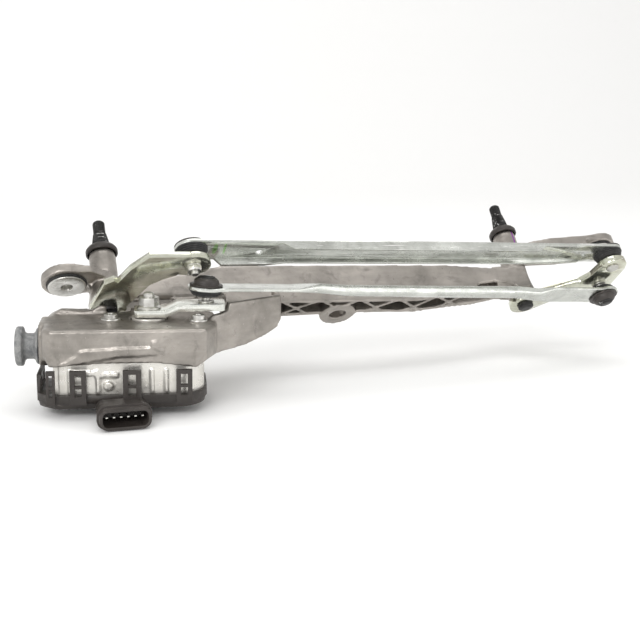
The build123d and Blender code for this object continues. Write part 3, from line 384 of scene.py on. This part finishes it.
def cast_skin(node, grain, passes):
    """Copy of a casting with its edges rounded: voxels of a size, smoothed a number of times."""
    draft = bpy.data.objects.new(node + "_draft", NODES[node].data.copy())
    scene.collection.objects.link(draft)
    weld(draft)
    skin = draft.modifiers.new("skin", "REMESH")
    skin.mode = "VOXEL"
    skin.voxel_size = grain
    skin.use_smooth_shade = True
    relax = draft.modifiers.new("relax", "SMOOTH")
    relax.factor = 0.5
    relax.iterations = passes
    mesh = frozen(draft)
    mesh.name = node + "_skin"
    bpy.data.objects.remove(draft)
    add_piece(mesh, node + "_skin", body_of(node), slot_of[node], [node])


def soften(node, width):
    """Small rounding along a CAD node's hard edges."""
    obj = NODES[node]
    weld(obj)
    edge = obj.modifiers.new("edge", "BEVEL")
    edge.width = width
    edge.segments = 2
    edge.limit_method = "ANGLE"
    edge.angle_limit = radians(BEVEL_OVER)
    edge.use_clamp_overlap = True
    edge.harden_normals = True
    shade_smooth(obj.data)


def lathe(name, centre, axis, rows, around, shape=None):
    """Mesh turned about an axis, not the row's X, from (radius, height) rows in millimetres.

    shape(angle, radius, height) gives another radius, and so bends the ring at that height.
    """
    side = Vector((1, 0, 0))
    u = (side - axis * side.dot(axis)).normalized()
    v = axis.cross(u)
    made = bmesh.new()
    rings = []
    for radius, height in rows:
        if radius <= 0:
            rings.append([made.verts.new(centre + axis * height * MM)])
            continue
        ring = []
        for i in range(around):
            a = 2 * pi * i / around
            r = shape(a, radius, height) if shape else radius
            ring.append(made.verts.new(centre + (u * cos(a) + v * sin(a)) * r * MM
                                       + axis * height * MM))
        rings.append(ring)
    for low, high in zip(rings, rings[1:]):
        for i in range(around):
            j = (i + 1) % around
            if len(low) == 1:
                made.faces.new((low[0], high[j], high[i]))
            elif len(high) == 1:
                made.faces.new((low[i], low[j], high[0]))
            else:
                made.faces.new((low[i], low[j], high[j], high[i]))
    bmesh.ops.recalc_face_normals(made, faces=made.faces)
    mesh = bpy.data.meshes.new(name)
    made.to_mesh(mesh)
    made.free()
    shade_smooth(mesh)
    return mesh


def sharpen(mesh, angle):
    """Marks creases over an angle in degrees as sharp, so smooth shading stops at them."""
    made = bmesh.new()
    made.from_mesh(mesh)
    for edge in made.edges:
        if len(edge.link_faces) == 2 and edge.calc_face_angle(0) > radians(angle):
            edge.smooth = False
    made.to_mesh(mesh)
    made.free()


# ---- detailed pieces, in millimetres -------------------------------------------------------
CONE_ABOVE_TUBE = 9.0
CONE_RADIUS, CONE_TAPER, CONE_STEPS = 6.85, 1.5, 12
KNURLS, KNURL_DEPTH = 44, 0.42
THREAD_LENGTH = 12.0
THREAD_RADIUS, THREAD_DEPTH = 4.9, 0.62
PITCH, STEPS_PER_PITCH = 1.25, 8
BUTTON_SIDES, BOOT_SIDES, NUT_SIDES = 48, 56, 72
STEPS_PER_FOLD = 8


def wiper_spindle(side, tube, tip):
    """Spindle with its knurled cone and the arm nut's helical thread.

    tube and tip are the heights of the casting's tube and of the spindle above the hub.
    """
    cone, thread = tube + CONE_ABOVE_TUBE, tip - THREAD_LENGTH
    rows = [(0, -8), (6.3, -8), (6.9, -7.4), (7, -5), (5.5, -5), (5.5, cone - 2),
            (6.5, cone - 1.2)]
    rows += [(CONE_RADIUS - CONE_TAPER * i / CONE_STEPS,
              cone + (thread - cone) * i / CONE_STEPS) for i in range(CONE_STEPS + 1)]
    rows += [(4.4, thread + 0.3), (4.4, thread + 0.9)]
    steps = int((tip - thread - 2.4) / PITCH * STEPS_PER_PITCH)
    rows += [(THREAD_RADIUS, thread + 1.0 + i * PITCH / STEPS_PER_PITCH) for i in range(steps)]
    rows += [(4.6, tip - 1.1), (3.9, tip - 0.2), (3.5, tip), (1.6, tip), (1.2, tip - 0.7),
             (0, tip - 1.0)]

    def bent(a, r, h):
        if cone - 0.1 < h < thread - 0.1:
            saw = abs((a / (2 * pi) * KNURLS) % 1.0 - 0.5) * 2
            return r - KNURL_DEPTH * saw
        if thread + 0.95 < h < tip - 1.3:
            turn = abs((h / PITCH - a / (2 * pi)) % 1.0 - 0.5) * 2
            return r - THREAD_DEPTH * turn
        return r

    node = side + "_spindle"
    mesh = lathe(node + "_detail", HUBS[side], LEAN, rows, KNURLS * 4, bent)
    sharpen(mesh, 50)
    add_piece(mesh, node + "_detail", body_of(node), slot_of[node], [node])


def hex_nut(name, centre, axis, body, slot_name, across, high, bore, tip):
    """Chamfered hexagon nut, with its stud's end standing out of it by tip."""
    corner = across / 2 / cos(pi / 6)

    def six(a, r, h):
        if r < across / 2 - 0.6:
            return r
        flat = across / 2 / cos((a + pi / 6) % (pi / 3) - pi / 6)
        return min(flat, r)

    rows = [(bore, 0), (across / 2 - 0.2, 0), (corner, 0.7), (corner, high - 0.8),
            (across / 2 - 0.2, high), (bore + 0.5, high), (bore, high - 0.5),
            (bore - 0.1, high - 0.4), (bore - 0.1, high + tip - 0.6), (bore - 0.7, high + tip),
            (0, high + tip)]
    mesh = lathe(name, centre, axis, rows, NUT_SIDES, six)
    sharpen(mesh, 24)
    add_piece(mesh, name, body, slot_name)


def folded_boot(node, ball):
    """Rubber boot with soft folds in place of the CAD boot; returns its axis.

    The axis is the direction in which the CAD boot is thinnest, from the boot to the ball, and
    heights run along it from the ball's centre.
    """
    points = np.array([v.co for v in NODES[node].data.vertices])
    middle = points.mean(axis=0)
    _, directions = np.linalg.eigh(np.cov((points - middle).T))
    axis = Vector(directions[:, 0])
    if (Vector(middle) - ball).dot(axis) > 0:
        axis.negate()
    heights = (points - np.array(ball)) @ np.array(axis) * 1000
    low, top = float(heights.min()), float(heights.max())
    radii = np.linalg.norm(np.cross(points - np.array(ball), np.array(axis)), axis=1) * 1000
    mouth = float(radii[heights < low + 0.05].min())
    folds = 3 if top - low > 5.5 else 2
    rows = [(8.6, top), (12.1, top), (12.45, top - 0.3), (12.45, top - 1.0), (12.1, top - 1.3)]
    start = top - 1.5
    steps = folds * STEPS_PER_FOLD
    for i in range(steps + 1):
        share = i / steps
        swell = abs(sin(pi * share * folds)) ** 0.7
        rows.append((10.9 - 1.4 * share + 1.25 * swell * (1 - 0.35 * share),
                     start + (low + 0.5 - start) * share))
    rows += [(mouth + 1.2, low), (mouth + 0.2, low), (mouth, low + 0.4), (mouth, low + 1.0),
             (8.6, top - 1.6), (8.6, top)]
    mesh = lathe(node + "_folds", ball, axis, rows, BOOT_SIDES)
    sharpen(mesh, 60)
    add_piece(mesh, node + "_folds", body_of(node), slot_of[node], [node])
    return axis


def socket_button(name, ball, axis):
    """Pressed steel button in the middle of a ball socket's far face."""
    rows = [(0, 9.0), (6.4, 9.0), (6.6, 9.9), (6.3, 10.5), (5.2, 10.7), (4.6, 10.2), (4.2, 10.2),
            (3.8, 11.0), (1.2, 11.3), (0, 11.3)]
    mesh = lathe(name, ball, axis, rows, BUTTON_SIDES)
    sharpen(mesh, 60)
    add_piece(mesh, name, "lower_link", "black_steel")


# ---- finishes, by the record's material slots ------------------------------------------------
slot_of = {s["node"]: s["material_slot"] for s in frame["record"]["subparts"]}
PURPLE = (0.30, 0.06, 0.38)
PALE_GREEN = (0.36, 0.62, 0.26)
BLUE = (0.16, 0.28, 0.62)
# grain: the noise's scale by axis, low along the grain and high across it
ALONG_LINK = (30, 1200, 1200)
ALONG_CRANK = (60, 600, 600)
ALONG_LEVER = (120, 500, 500)
ALONG_CAN = (60, 700, 700)
BRUSHED_ROUND = (400, 400, 900)
# patches of paint: place, half sizes and colour
LINK_PAINT = [((0.1060, -0.0520, 0.0270), (0.0030, 0.012, 0.012), PALE_GREEN),
              ((0.1135, -0.0520, 0.0270), (0.0016, 0.012, 0.012), PALE_GREEN)]
CRANK_PAINT = [((0.0890, -0.0720, -0.0075), (0.0016, 0.0040, 0.0016), BLUE)]
STRIPE_FROM = Vector((0.4088, 0.0380, 0.0090))
TUBE_PAINT = [(STRIPE_FROM + LEAN * MM * along, (0.0016, 0.0030, 0.0030), PURPLE)
              for along in (2.0, 4.5, 7.0, 9.5, 12.0, 14.5)]

finishes = {
    "cast_aluminium": cast_metal("cast_aluminium", (0.425, 0.395, 0.365), (0.235, 0.22, 0.20),
                                 0.36, 0.88, stains=0.5, marks=TUBE_PAINT),
    "housing_aluminium": cast_metal("housing_aluminium", (0.82, 0.80, 0.75), (0.56, 0.54, 0.50),
                                    0.30, 0.7, stains=0.35),
    "zinc_steel": plated_metal("zinc_steel", (0.67, 0.685, 0.645), (0.45, 0.46, 0.43),
                               0.18, 0.93, along=ALONG_LINK, marks=LINK_PAINT, rust=0.5),
    "pale_zinc_steel": plated_metal("pale_zinc_steel", (0.68, 0.68, 0.60), (0.38, 0.35, 0.28),
                                    0.14, 0.95, tint=(0.60, 0.61, 0.50), along=ALONG_LEVER),
    "bright_steel": plated_metal("bright_steel", (0.66, 0.65, 0.62), (0.40, 0.39, 0.36),
                                 0.26, 0.95, along=BRUSHED_ROUND, rust=0.4),
    "black_steel": plated_metal("black_steel", (0.035, 0.034, 0.033), (0.014, 0.014, 0.014),
                                0.38, 0.55, along=BRUSHED_ROUND),
    "yoke_steel": plated_metal("yoke_steel", (0.52, 0.52, 0.50), (0.34, 0.34, 0.32),
                               0.34, 0.85, along=ALONG_CAN, rust=0.3),
    "black_plastic": moulded_plastic("black_plastic", (0.026, 0.021, 0.018)),
    "bush_plastic": moulded_plastic("bush_plastic", (0.30, 0.28, 0.24), 0.4, dust=0.15),
    "wheel_plastic": moulded_plastic("wheel_plastic", (0.55, 0.52, 0.44), 0.4, dust=0.15),
    "board": moulded_plastic("board", (0.02, 0.11, 0.045), 0.3, dust=0.1, grain=0.2),
    "black_rubber": moulded_rubber("black_rubber", (0.016, 0.016, 0.016), (0.075, 0.072, 0.068)),
    "grey_rubber": moulded_rubber("grey_rubber", (0.13, 0.135, 0.14), (0.38, 0.38, 0.37),
                                  0.58, mottle=0.9),
    "ferrite": moulded_rubber("ferrite", (0.05, 0.05, 0.05), (0.11, 0.11, 0.11),
                              0.5, mottle=0.4),
    "bronze": plated_metal("bronze", (0.55, 0.36, 0.18), (0.34, 0.21, 0.10), 0.32, 0.9),
    "copper": plated_metal("copper", (0.72, 0.34, 0.18), (0.45, 0.19, 0.10), 0.28, 0.95),
    "tin_plate": plated_metal("tin_plate", (0.72, 0.71, 0.66), (0.5, 0.49, 0.45), 0.24, 0.95),
}
crank_zinc = plated_metal("crank_zinc", (0.80, 0.81, 0.76), (0.60, 0.61, 0.56),
                          0.20, 0.9, along=ALONG_CRANK, marks=CRANK_PAINT, rust=0.2)
for node, slot_name in slot_of.items():
    for i in range(len(NODES[node].data.materials)):
        NODES[node].data.materials[i] = finishes[slot_name]
NODES["crank_arm"].data.materials[0] = crank_zinc     # brighter than the links

# ---- shapes over the frame -------------------------------------------------------------------
SKINS = {"cast_frame": (0.0012, 2), "gear_housing": (0.0008, 2)}    # voxel in metres, passes
for node, (grain, passes) in SKINS.items():
    cast_skin(node, grain, passes)

# bevel widths in metres, by slot; the nodes in INNER keep their CAD edges
SOFT_EDGES = {
    "zinc_steel": 0.0005, "pale_zinc_steel": 0.0006, "bright_steel": 0.0003,
    "black_plastic": 0.0004, "black_rubber": 0.0005, "grey_rubber": 0.0008, "yoke_steel": 0.0005,
}
INNER = {"connector_pins", "brush_holder", "left_spindle_seal", "right_spindle_seal",
         "output_shaft", "armature_shaft"}
for node, slot_name in slot_of.items():
    if slot_name in SOFT_EDGES and node not in INNER:
        soften(node, SOFT_EDGES[slot_name])

SPINDLES = {"left": (47.0, 76.0), "right": (70.5, 102.0)}           # tube and tip, in mm
for side, (tube, tip) in SPINDLES.items():
    wiper_spindle(side, tube, tip)

LEFT_BALL = Vector((0.088, -0.049776, 0.0276617))
NUT_BEHIND_BALL = 0.0133
hex_nut("left_lever_nut", LEFT_BALL - LEAN * NUT_BEHIND_BALL, -LEAN, "left_pivot",
        "bright_steel", across=10.0, high=4.6, bore=3.0, tip=2.6)
BALLS = {               # ball centres at rest, by the boot over each
    "lower_link_crank_boot": (0.096362, -0.061834, 0.000069),
    "lower_link_lever_boot": (0.465038, -0.022633, -0.025709),
    "upper_link_left_boot": LEFT_BALL,
    "upper_link_right_boot": (0.463038, -0.029798, 0.009673),
}
for node, ball in BALLS.items():
    axis = folded_boot(node, Vector(ball))
    if node.startswith("lower"):
        socket_button(node.replace("boot", "button"), Vector(ball), axis)

# ---- camera, stage, light --------------------------------------------------------------------
make_camera()
make_stage()
make_lights()
scene.view_settings.view_transform = "Standard"
scene.view_settings.look = "None"
